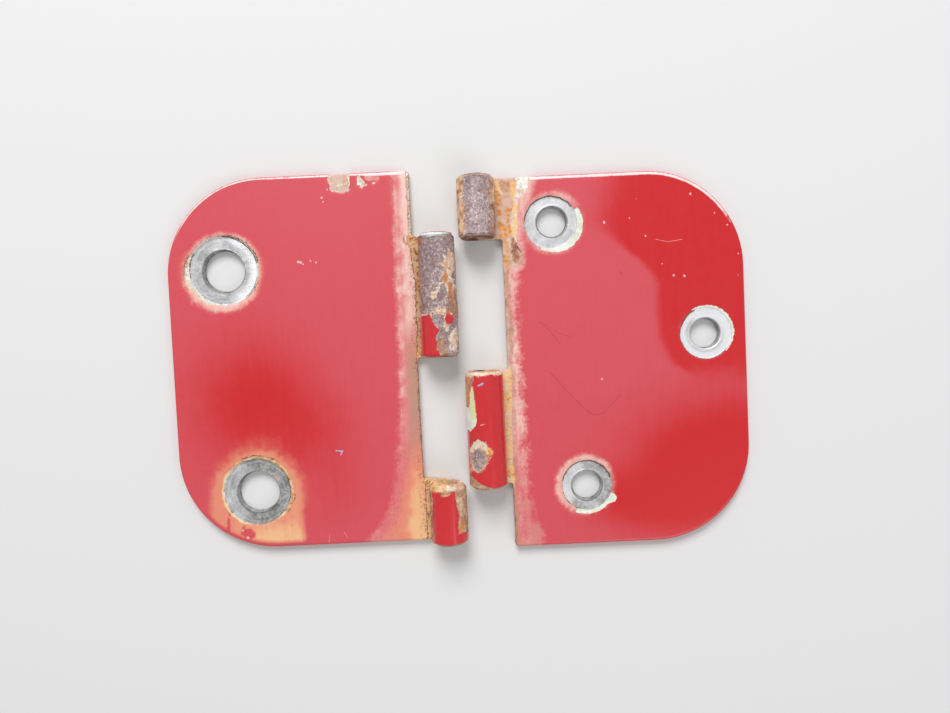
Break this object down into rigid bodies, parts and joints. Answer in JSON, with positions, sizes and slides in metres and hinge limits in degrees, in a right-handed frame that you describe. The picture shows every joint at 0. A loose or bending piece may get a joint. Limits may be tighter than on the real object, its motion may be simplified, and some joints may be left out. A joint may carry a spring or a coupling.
{
  "type": "aircraft door hinge, taken apart",
  "caption": "Butt hinge for a light aircraft's door in two red painted steel leaves, taken apart: rolled knuckles, rounded outer corners and bare rings round the screw holes.",
  "frame": {"origin": "on the plane of the backs, in the middle of the box that the two leaves cover", "axes": "+X from the left leaf to the right one, +Y along the pin axis towards the top of the leaves as pictured, +Z out of the painted front, on which the knuckles stand"},
  "size_m": [0.0984, 0.0654, 0.0065],
  "materials": {
    "worn_red_paint": "gloss red enamel over pale green primer on plated steel, faded, and chipped to bare metal"
  },
  "bodies": {
    "root": {"left_leaf": "worn_red_paint", "right_leaf": "worn_red_paint"}
  },
  "joints": []
}
